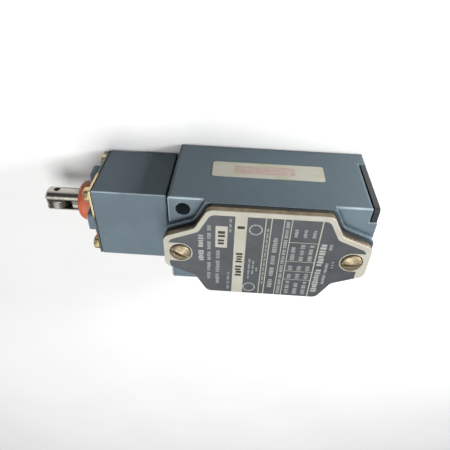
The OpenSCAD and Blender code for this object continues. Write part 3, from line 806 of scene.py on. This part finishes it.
def dress_all(finishes: dict[str, Stock]) -> None:
    """Dress a table of CAD nodes, each in its own finish, and leave their edges as they are.

    Args:
        finishes: The finish of each node.
    """
    for node, stock in finishes.items():
        dress(node, stock)


# ---------- fasteners ----------


@dataclass
class SlottedScrew:
    """A fillister-head screw: a head with a crowned top and a sawn slot, on a plain shank.

    Sizes are in millimetres.
    """

    head_d: float
    side_h: float
    crown_h: float
    slot_w: float
    slot_h: float
    shank_d: float
    round_r: float = 0.35
    tip_chamfer: float = 0.3
    under_chamfer: float = 0.1

    def profile(self, shank_l: float) -> list[Point2]:
        """Work out the screw's half section, from the tip round the head to the middle of its crown.

        Args:
            shank_l: The length of the shank.

        Returns:
            Radius and height of each point in metres.
        """
        r, top = self.head_d / 2, self.side_h
        shank = self.shank_d / 2
        points = [(0, -shank_l), (shank - self.tip_chamfer, -shank_l), (shank, self.tip_chamfer - shank_l),
                  (shank, 0), (r - self.under_chamfer, 0), (r, self.under_chamfer), (r, top - self.round_r)]
        points += [(r - self.round_r * (1 - math.cos(a)), top - self.round_r * (1 - math.sin(a)))
                   for a in (math.radians(d) for d in (25, 50, 75))]
        inner = r - self.round_r
        points += [(inner * math.sin(a), top + self.crown_h * math.cos(a) ** 1.4)
                   for a in (math.radians(d) for d in range(84, 0, -12))]
        return [(x * MM, z * MM) for x, z in points + [(0, top + self.crown_h)]]

    def build(
        self, name: str, shank_l: float, places: Sequence[tuple[Vector, float]], facing: Facing,
    ) -> bpy.types.Object:
        """Build a set of these screws as one piece.

        Args:
            name: The piece's name.
            shank_l: The length of the shanks.
            places: The point under each head in metres, and the turn of its slot in degrees.
            facing: The direction of the heads.

        Returns:
            The piece, not yet settled.
        """
        screws = scratch_object(name, lambda mesh: add_turned(mesh, self.profile(shank_l)))
        floor_z = (self.side_h + self.crown_h - self.slot_h) * MM
        half_w, reach = self.slot_w / 2 * MM, self.head_d * MM
        slot = scratch_object("slot", lambda mesh: add_prism(
            mesh, box_points(-reach, reach, -half_w, half_w), floor_z, floor_z + reach))
        cut(screws, slot)
        mesh = bmesh.new()
        for place, turn in places:
            one = screws.data.copy()
            slot_turn = Matrix.Rotation(math.radians(turn), 4, "Z")
            one.transform(Matrix.Translation(place) @ facing.turn() @ slot_turn)
            mesh.from_mesh(one)
            bpy.data.meshes.remove(one)
        mesh.to_mesh(screws.data)
        mesh.free()
        return screws


# ---------- sub-assemblies ----------


@dataclass
class CoverOutline:
    """The cover's plan, worked out from the mounting holes as the casting is. In millimetres."""

    hole_dx: float = 59.5
    hole_dy: float = 30.2
    past_hole: float = 6.65
    lobe_half_w: float = 6.9
    waist_back: float = 4.45
    waist_in: float = 3.5
    shoulder_run: float = 4.4
    half_w: float = 19.85

    def corners(self) -> list[Point2]:
        """Return the twelve corners, anticlockwise from the lower corner of the +X lobe."""
        end = (self.hole_dx / 2 + self.past_hole, self.lobe_half_w)
        waist = (self.hole_dx / 2 - self.waist_back, self.hole_dy / 2 - self.waist_in)
        shoulder = (waist[0] - self.shoulder_run, self.half_w)
        quarter = [end, waist, shoulder]
        upper = quarter + [(-x, y) for x, y in reversed(quarter)]
        return [(quarter[0][0], -quarter[0][1])] + upper + [(-x, -y) for x, y in quarter] + [
            (x, -y) for x, y in reversed(quarter[1:])]


@dataclass
class PrintRow:
    """A row of print, drawn as plain ticks in groups that stand for words. In millimetres."""

    x: float
    height: float
    start: float
    end: float
    word: tuple[float, float] = (1.2, 3.2)
    gap: float = 0.6
    stock: Stock = Stock.PALE_PRINT

    def bars(self, dice: random.Random) -> list[list[Point2]]:
        """Set out the ticks.

        Args:
            dice: The source of the words' lengths and the ticks' shapes.

        Returns:
            The plan of each tick.
        """
        bars, y = [], self.start
        pitch = max(self.height * 0.62, 0.5)
        while y < self.end - self.word[0] / 2:
            top = min(y + dice.uniform(*self.word), self.end)
            count = max(1, round((top - y) / pitch))
            step = (top - y) / count
            for i in range(count):
                low = self.x - self.height / 2 + dice.choice((0, 0, 0, 0.12)) * self.height
                high = self.x + self.height / 2 - dice.choice((0, 0, 0.12)) * self.height
                width = step * dice.uniform(0.6, 0.82)
                bars.append(box_points(low, high, y + i * step, y + i * step + width))
            y = top + self.gap
        return bars


@dataclass
class Nameplate:
    """The nameplate on the cover: dark ink on pale metal, with bare bands, ruled lines and plain bars."""

    outline: CoverOutline = field(default_factory=CoverOutline)
    border: float = 1.95
    corner_r: float = 2.6
    back_border: float = 0.25
    screw_bay_r: float = 4.4
    screw_from_end: float = 6.0
    table_rule_w: float = 0.24
    finger_x: float = 32.9
    ink_t: float = 0.035
    print_t: float = 0.02
    band: tuple[float, float] = (-11.5, -7.4)
    panel: tuple[float, float, float, float] = (-18.0, -13.85, 3.5, 13.35)
    rules: tuple[Point2, ...] = ((-1.26, 0.35), (0.63, 0.35), (4.8, 0.3), (7.38, 0.3), (17.5, 0.42))
    table_x: tuple[float, float] = (7.38, 17.5)
    table_rules: tuple[float, ...] = (7.9, -1.2, -6.2, -10.6)
    ring_places: tuple[tuple[float, float, float], ...] = ((-4.4, 12.6, 2.35), (-5.0, -16.2, 2.4))

    def ink_outline(self) -> list[Point2]:
        """Return the ink's plan: it leaves a bare border on the +Y side and at the ends."""
        corners = self.outline.corners()
        steps = []
        for i, corner in enumerate(corners):
            middle_y = (corner[1] + corners[(i + 1) % len(corners)][1]) / 2
            steps.append(-self.border if middle_y > -0.1 else -self.back_border)
        return round_corners(move_edges(corners, steps), self.corner_r)

    def openings(self, mesh: bmesh.types.BMesh) -> None:
        """Add everything that is cut out of the ink.

        Args:
            mesh: The mesh that takes the cutters.
        """
        low, high = -1.0, 2.0
        reach = self.outline.half_w + 1
        left, right, near, far = self.panel
        add_prism(mesh, box_points(left, right, near, far), low, high)
        add_prism(mesh, box_points(*self.band, -reach, reach), low, high)
        for x, width in self.rules:
            add_prism(mesh, box_points(x - width / 2, x + width / 2, -reach, reach), low, high)
        half_w = self.table_rule_w / 2
        for y in self.table_rules:
            add_prism(mesh, box_points(*self.table_x, y - half_w, y + half_w), low, high)
        screw_x = self.outline.hole_dx / 2 + self.outline.past_hole - self.screw_from_end
        for side in (-1, 1):
            arc = [math.radians(90 + 15 * k) for k in range(13)]
            bay = [(screw_x + self.screw_bay_r * math.cos(a), self.screw_bay_r * math.sin(a)) for a in arc]
            bay += [(screw_x + 12, -self.screw_bay_r), (screw_x + 12, self.screw_bay_r)]
            plan = bay if side > 0 else [(-x, -y) for x, y in bay]
            add_prism(mesh, plan, low, high)
        add_prism(mesh, box_points(self.finger_x, reach + 20, -reach, 0), low, high)

    def rows(self) -> list[PrintRow]:
        """Return the rows of print, from the head end to the conduit end."""
        faint, dark = Stock.FAINT_PRINT, Stock.DARK_PRINT
        rows = [
            PrintRow(-23.0, 1.9, -3.4, 12.2, (4.4, 6.4), 1.3),
            PrintRow(-20.2, 1.3, -12.9, 13.6, (2.6, 4.6), 0.9, faint),
            PrintRow(-17.0, 1.4, -15.0, 2.2, (4.4, 6.4), 0.9, faint),
            PrintRow(-13.0, 0.8, -18.0, -8.0, (1.2, 2.6), 0.7, faint),
            PrintRow(-13.0, 0.8, 11.0, 17.0, (1.0, 2.0), 0.6, faint),
            PrintRow(-9.4, 2.5, 12.6, 14.4, (1.8, 1.8), 0.5, dark),
            PrintRow(-9.4, 2.3, -10.4, 1.6, (5.2, 6.4), 1.1, dark),
            PrintRow(-15.9, 2.4, 5.0, 11.8, (2.8, 3.2), 0.6, dark),
            PrintRow(-5.6, 0.7, -11.5, -0.5, (1.4, 3.0), 0.5, faint),
            PrintRow(-4.2, 0.7, -9.0, -2.0, (1.4, 3.0), 0.5, faint),
            PrintRow(-2.8, 0.7, -7.4, -4.4, (1.4, 3.0), 0.5, faint),
            PrintRow(-0.3, 0.7, -14.0, 14.0, (1.4, 2.4), 0.5, faint),
            PrintRow(2.7, 1.6, -15.6, 12.6, (4.6, 8.0), 1.3, faint),
            PrintRow(6.1, 1.2, -18.8, 17.2, (2.6, 4.6), 0.5, faint),
            PrintRow(19.4, 2.1, -16.6, 13.0, (10.0, 14.0), 1.6),
            PrintRow(22.0, 1.1, -12.0, 1.6, (4.0, 6.0), 0.8, faint),
            PrintRow(21.9, 1.1, 5.4, 8.2, (2.8, 2.8), 0.8, faint),
            PrintRow(24.0, 1.1, -3.4, 0.6, (0.6, 0.9), 0.6, faint),
        ]
        cells = [*self.table_rules, -19.0]
        for x in (9.3, 12.4, 15.5):
            rows.append(PrintRow(x, 1.2, 10.4, 14.4, (2.6, 3.8), 0.8, faint))
            for top, low in zip(cells, cells[1:]):
                rows.append(PrintRow(x, 1.5, low + 0.6, top - 0.6, (2.2, 3.6), 0.5, faint))
        return rows

    def rings(self) -> list[list[Point2]]:
        """Return the plans of the short arcs that make up two plain rings."""
        arcs, count = [], 20
        for x, y, radius in self.ring_places:
            for k in range(count):
                turns = [2 * math.pi * (k + share) / count for share in (0.0, 0.82)]
                low = radius - (0.5 if k % 2 else 0.4)
                corners = ((radius, turns[0]), (radius, turns[1]), (low, turns[1]), (low, turns[0]))
                arcs.append([(x + r * math.cos(t), y + r * math.sin(t)) for r, t in corners])
        return arcs

    def build(self) -> None:
        """Dress the plate, and lay the ink and the print on it."""
        dress("nameplate", Stock.LACQUERED, 0.12)
        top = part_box("nameplate")[1].z
        ink = scratch_object("nameplate_ink", lambda mesh: add_prism(mesh, self.ink_outline(), 0.0, 1.0))
        cut(ink, scratch_object("openings", self.openings))
        for vertex in ink.data.vertices:
            x, y, z = vertex.co
            vertex.co = (x * MM, y * MM, top + z * self.ink_t * MM)
        settle(ink, Stock.INK, Body.HOUSING)
        dice = random.Random(11)
        bars: dict[Stock, list[list[Point2]]] = {}
        for row in self.rows():
            bars.setdefault(row.stock, []).extend(row.bars(dice))
        bars[Stock.PALE_PRINT].extend(self.rings())
        for stock, plans in bars.items():
            base = 0.0 if stock is Stock.DARK_PRINT else self.ink_t
            low, high = top + base * MM, top + (base + self.print_t) * MM
            marks = scratch_object("nameplate_" + stock.name.lower(), lambda mesh: [
                add_prism(mesh, [(x * MM, y * MM) for x, y in plan], low, high) for plan in plans])
            settle(marks, stock, Body.HOUSING)


@dataclass
class Cover:
    """The cover, its gasket and its two screws."""

    screw: SlottedScrew = field(default_factory=lambda: SlottedScrew(7.0, 1.35, 0.8, 1.15, 1.25, 4.0))
    slot_turns: tuple[float, float] = (-30.0, 6.0)

    def build(self) -> None:
        """Dress the plates and build the screws."""
        dress("cover_plate", Stock.PASSIVATED, 0.25)
        dress("cover_gasket", Stock.NITRILE)
        low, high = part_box("cover_screws")
        head_r = self.screw.head_d / 2 * MM
        under = high.z - (self.screw.side_h + self.screw.crown_h) * MM
        places = [(Vector((x, 0, under)), turn)
                  for x, turn in zip((low.x + head_r, high.x - head_r), self.slot_turns)]
        screws = self.screw.build("cover_screw_pair", (under - low.z) / MM, places, Facing.UP)
        settle(screws, Stock.WORN_CHROMATE, Body.HOUSING, ["cover_screws"])


@dataclass
class Casting:
    """The body casting with its side label, its end plate and its threaded conduit entry. In millimetres."""

    thread_pitch: float = 1.814
    thread_h: float = 0.75
    mouth_inset: float = 0.3
    bore_gap: float = 0.05
    wall_overlap: float = 0.1
    steps: int = 72
    per_pitch: int = 6

    def thread(self, mesh: bmesh.types.BMesh) -> None:
        """Add the thread of the conduit entry: a tube whose bore carries the ridges.

        Args:
            mesh: The mesh that takes it.
        """
        entry = next(m for m in frame["record"]["mounts"] if m["name"] == "conduit_entry")
        mouth = Vector(entry["pos_m"])
        radius, length = entry["dims"]["r_mm"] * MM, entry["dims"]["length_mm"] * MM
        pitch, depth = self.thread_pitch * MM, self.thread_h * MM
        count = round((length - MM) / pitch * self.per_pitch)
        turns = [2 * math.pi * k / self.steps for k in range(self.steps)]
        grid = []
        for i in range(count + 1):
            along = i * pitch / self.per_pitch
            x = mouth.x - self.mouth_inset * MM - along
            fade = min(1.0, i / self.per_pitch, (count - i) / self.per_pitch)
            ring = []
            for k, turn in enumerate(turns):
                wave = abs(((along / pitch + k / self.steps) % 1.0) * 2 - 1)
                r = radius - self.bore_gap * MM - depth * wave * fade
                ring.append(mesh.verts.new((x, mouth.y + r * math.cos(turn), mouth.z + r * math.sin(turn))))
            grid.append(ring)
        r = radius + self.wall_overlap * MM
        outer = [[mesh.verts.new((ring[0].co.x, mouth.y + r * math.cos(turn), mouth.z + r * math.sin(turn)))
                  for turn in turns] for ring in (grid[-1], grid[0])]
        loop = grid + outer
        for low, high in zip(loop, loop[1:] + loop[:1]):
            bridge(mesh, low, high)

    def build(self) -> None:
        """Dress the casting and cut the thread."""
        # The casting's broken edges, and the rounded edges round its top, take the pale enamel: wear and a
        # painted highlight
        dress("body_casting", Stock.ENAMEL, 0.25, Stock.RUB_AND_HIGHLIGHT_EDGE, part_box("end_plate")[1].z)
        # Painted shade: the near-black end plate in the corner recesses of the conduit end stands for the
        # shade on the recess walls
        dress("end_plate", Stock.PHENOLIC, 0.2)
        dress("side_label", Stock.LABEL)
        thread = scratch_object("conduit_thread", self.thread)
        settle(thread, Stock.BARE_ZINC, Body.HOUSING)


@dataclass
class Head:
    """The head casting with its gasket, retainer, end cap, four screws and wiper boot. In millimetres."""

    screw: SlottedScrew = field(default_factory=lambda: SlottedScrew(5.6, 2.2, 0.75, 1.0, 1.2, 3.0))
    slot_turns: tuple[float, ...] = (25.0, 70.0, -15.0, 110.0)
    crown_r: float = 2.9
    bulge: float = 0.7
    wall: float = 1.1
    flange_over: float = 1.5
    flange_t: float = 1.0
    flange_round: float = 0.15
    bead_r: float = 0.45
    lip_gap: float = 0.05
    lip_t: float = 1.8

    def boot_profile(self) -> list[Point2]:
        """Work out the boot's closed half section: a flange, a bulging dome, and a lip on the plunger.

        Returns:
            Radius and distance out from the retainer of each point, in metres.
        """
        low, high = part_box("wiper_boot")
        plunger_low, plunger_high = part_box("plunger")
        length = (high.x - low.x) / MM + self.bulge
        flange_r = (high.z - low.z) / 2 / MM
        dome_r = flange_r - self.flange_over
        lip_r = (plunger_high.z - plunger_low.z) / 2 / MM + self.lip_gap
        bead_r, edge, thick = self.bead_r, self.flange_round, self.flange_t
        crown = [(dome_r - self.crown_r * (1 - math.cos(a)), length - self.crown_r * (1 - math.sin(a)))
                 for a in (math.radians(9 * k) for k in range(11))]
        bead = [(lip_r + bead_r + bead_r * math.cos(a), length - bead_r + bead_r * math.sin(a))
                for a in (math.radians(30 * k) for k in range(3, 7))]
        outside = [(flange_r - edge, 0.0), (flange_r, edge), (flange_r, thick - edge),
                   (flange_r - edge, thick), (dome_r + 0.3, thick), (dome_r, thick + 0.4),
                   (dome_r + 0.02, thick + 2.2), *crown]
        inner_r, under_lip = dome_r - self.wall, length - self.lip_t
        inside = [(lip_r, under_lip + 0.2), (lip_r + 0.2, under_lip), (inner_r - 1, under_lip),
                  (inner_r, under_lip - 1), (inner_r, 0.0)]
        return [(r * MM, z * MM) for r, z in outside + bead + inside]

    def build_boot(self) -> None:
        """Turn the boot."""
        low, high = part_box("wiper_boot")
        boot = scratch_object("silicone_boot", lambda mesh: add_turned(mesh, self.boot_profile(), 96))
        centre_z = (low.z + high.z) / 2
        boot.data.transform(Matrix.Translation((high.x, 0, centre_z)) @ Facing.OUT.turn())
        settle(boot, Stock.SILICONE, Body.HOUSING, ["wiper_boot"])
        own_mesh(boot)

    def build(self) -> None:
        """Dress the plates, and build the screws and the boot."""
        # The head casting's and end cap's broken edges take the pale enamel: wear and a painted highlight
        dress("head_casting", Stock.ENAMEL, 0.3, Stock.RUB_AND_HIGHLIGHT_EDGE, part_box("head_casting")[1].z)
        dress("head_gasket", Stock.NITRILE)
        dress("retainer_plate", Stock.SHEARED_CHROMATE, 0.15)
        dress("end_cap", Stock.ENAMEL, 0.3, Stock.RUB_AND_HIGHLIGHT_EDGE)
        low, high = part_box("head_screws")
        head_r = self.screw.head_d / 2 * MM
        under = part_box("retainer_plate")[0].x
        sides = [(y, z) for y in (low.y + head_r, high.y - head_r) for z in (low.z + head_r, high.z - head_r)]
        places = [(Vector((under, y, z)), turn) for (y, z), turn in zip(sides, self.slot_turns)]
        screws = self.screw.build("head_screw_set", (high.x - under) / MM, places, Facing.OUT)
        settle(screws, Stock.CHROMATE, Body.HOUSING, ["head_screws"])
        self.build_boot()


@dataclass
class Coil:
    """A coil spring of round wire along X, with its ends closed. In millimetres."""

    wire: float
    turns: float
    closed: float = 1.0
    sides: int = 12
    per_turn: int = 40

    def build(self, name: str, node: str, joint: str) -> None:
        """Wind the spring in the place of a CAD node.

        Args:
            name: The new piece's name.
            node: The CAD node that it stands for.
            joint: Not used.
        """
        low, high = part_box(node)
        wire = self.wire * MM
        radius = (high.z - low.z - wire) / 2
        centre_z = (low.z + high.z) / 2
        start, end = low.x + wire / 2, high.x - wire / 2
        closed_rise = self.closed * wire
        count = round(self.turns * self.per_turn)
        rings = []
        for i in range(count + 1):
            turn = self.turns * i / count
            if turn < self.closed:
                x = start + wire * turn
            elif turn > self.turns - self.closed:
                x = end - wire * (self.turns - turn)
            else:
                share = (turn - self.closed) / (self.turns - 2 * self.closed)
                x = start + closed_rise + share * (end - start - 2 * closed_rise)
            angle = 2 * math.pi * turn
            out = Vector((0, math.cos(angle), math.sin(angle)))
            centre = Vector((x, 0, centre_z)) + out * radius
            rings.append([centre + (out * math.cos(t) + Vector((1, 0, 0)) * math.sin(t)) * (wire / 2)
                          for t in (2 * math.pi * k / self.sides for k in range(self.sides))])
        coil = scratch_object(name, lambda mesh: add_rings(mesh, rings))
        settle(coil, Stock.SPRING_STEEL, Body.HOUSING, [node])
        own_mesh(coil)


@dataclass
class PlungerTrain:
    """The plunger with its roller, pin, clip, washer, spring, bushing and seal."""

    spring: Coil = field(default_factory=lambda: Coil(0.8, 5.5))

    def build(self) -> None:
        """Dress the pieces and wind the spring."""
        dress("plunger", Stock.GROUND_STEEL, 0.12)
        dress("roller", Stock.TURNED_STEEL, 0.1)
        dress_all({
            "roller_pin": Stock.TURNED_STEEL, "retaining_clip": Stock.SPRING_STEEL,
            "spring_washer": Stock.TURNED_STEEL, "plunger_bushing": Stock.BRONZE,
            "plunger_seal": Stock.NITRILE, "spring_plate": Stock.TURNED_STEEL,
        })
        self.spring.build("return_coil", "return_spring", "plunger_slide")


@dataclass
class ContactBlock:
    """The contact housing with its capsule, straps, terminals, rod, carrier, magnet and screws."""

    spring: Coil = field(default_factory=lambda: Coil(0.6, 9.0))

    def build(self) -> None:
        """Dress the pieces and wind the carrier's spring."""
        dress_all({
            "contact_housing": Stock.PHENOLIC, "sealed_contact": Stock.GLASS,
            "contact_straps": Stock.COPPER, "terminal_clamps": Stock.NICKEL,
            "terminal_screws": Stock.NICKEL, "housing_screws": Stock.CHROMATE,
            "ground_screw": Stock.GREEN_DYE, "rod_guide": Stock.BRONZE, "rod_seal": Stock.NITRILE,
            "drive_rod": Stock.GROUND_STEEL, "magnet_carrier": Stock.NYLON, "magnet": Stock.FERRITE,
        })
        self.spring.build("carrier_coil", "carrier_spring", "carrier_slide")


# ---------- studio ----------


@dataclass
class Softbox:
    """A square area light that faces a point. Places in metres."""

    name: str
    place: tuple[float, float, float]
    target: tuple[float, float, float]
    size: float
    power: float

    def build(self) -> None:
        """Hang the light."""
        lamp = bpy.data.lights.new(self.name, "AREA")
        lamp.shape = "SQUARE"
        lamp.size = self.size
        lamp.energy = self.power
        light = bpy.data.objects.new(self.name, lamp)
        bpy.context.scene.collection.objects.link(light)
        light.location = self.place
        aim = Vector(self.target) - Vector(self.place)
        light.rotation_euler = aim.to_track_quat("-Z", "Y").to_euler()


@dataclass
class Studio:
    """A plain pale floor, soft light, and the camera."""

    target: tuple[float, float, float] = (-0.01491, 0.01225, 0.040)
    azimuth: float = 177.68
    elevation: float = 49.35
    roll: float = -174.76
    distance: float = 0.14322
    lens: float = 33.61
    sensor_w: float = 36.0
    sky: str = "#f4f6f8"
    sky_strength: float = 0.09
    floor_half: float = 2.5
    boxes: tuple[Softbox, ...] = (
        Softbox("key", (0.0, -0.04, 0.64), (0, 0, 0.02), 0.46, 3.9),
        Softbox("end_fill", (0.21, 0.085, 0.06), (0.03, 0.02, 0.025), 0.05, 0.8),
        Softbox("plunger_card", (-0.255, 0.29, 0.385), (-0.07, 0, 0.02), 0.16, 0.13),
        Softbox("back_card", (-0.22, -0.36, 0.40), (0, 0, 0.02), 0.3, 0.4),
    )

    def build_camera(self) -> None:
        """Place the camera on its orbit round the target, rolled as it was held."""
        camera = bpy.data.objects.new("camera", bpy.data.cameras.new("camera"))
        bpy.context.scene.collection.objects.link(camera)
        a, e = math.radians(self.azimuth), math.radians(self.elevation)
        back = Vector((math.sin(a) * math.cos(e), -math.cos(a) * math.cos(e), math.sin(e)))
        camera.location = Vector(self.target) + back * self.distance
        level = (-back).to_track_quat("-Z", "Y")
        camera.rotation_mode = "QUATERNION"
        camera.rotation_quaternion = level @ Quaternion((0, 0, 1), math.radians(self.roll))
        camera.data.lens = self.lens
        camera.data.sensor_width = self.sensor_w
        camera.data.clip_start = 0.005
        camera.data.clip_end = 20.0
        bpy.context.scene.camera = camera

    def build(self) -> None:
        """Set up the camera, the lights, the world and the floor."""
        self.build_camera()
        for box in self.boxes:
            box.build()
        world = bpy.data.worlds.new("studio")
        bpy.context.scene.world = world
        world.use_nodes = True
        sky = world.node_tree.nodes["Background"]
        sky.inputs["Color"].default_value = linear(self.sky)
        sky.inputs["Strength"].default_value = self.sky_strength
        floor = scratch_object("floor", lambda mesh: bmesh.ops.create_grid(
            mesh, x_segments=4, y_segments=4, size=self.floor_half))
        coat = Coat("pale studio floor")
        tone = coat.grain((60, 60, 60), 2.0)
        floor.data.materials.append(coat.finish(
            Base_Color=coat.between(tone, (0.3, 0.7), linear("#f3f3f2"), linear("#f6f6f6")), Roughness=0.8))
        # The light that the floor would throw back washes out the object's darker side
        floor.visible_diffuse = False
        bpy.context.scene.view_settings.view_transform = "Standard"


def main() -> None:
    """Build the studio and every sub-assembly in order."""
    logging.basicConfig(level=logging.INFO, format="%(message)s")
    parts = (Studio(), Casting(), Cover(), Nameplate(), Head(), PlungerTrain(), ContactBlock())
    for part in parts:
        LOG.info("building %s", type(part).__name__)
        part.build()


if __name__ == "__main__":
    main()
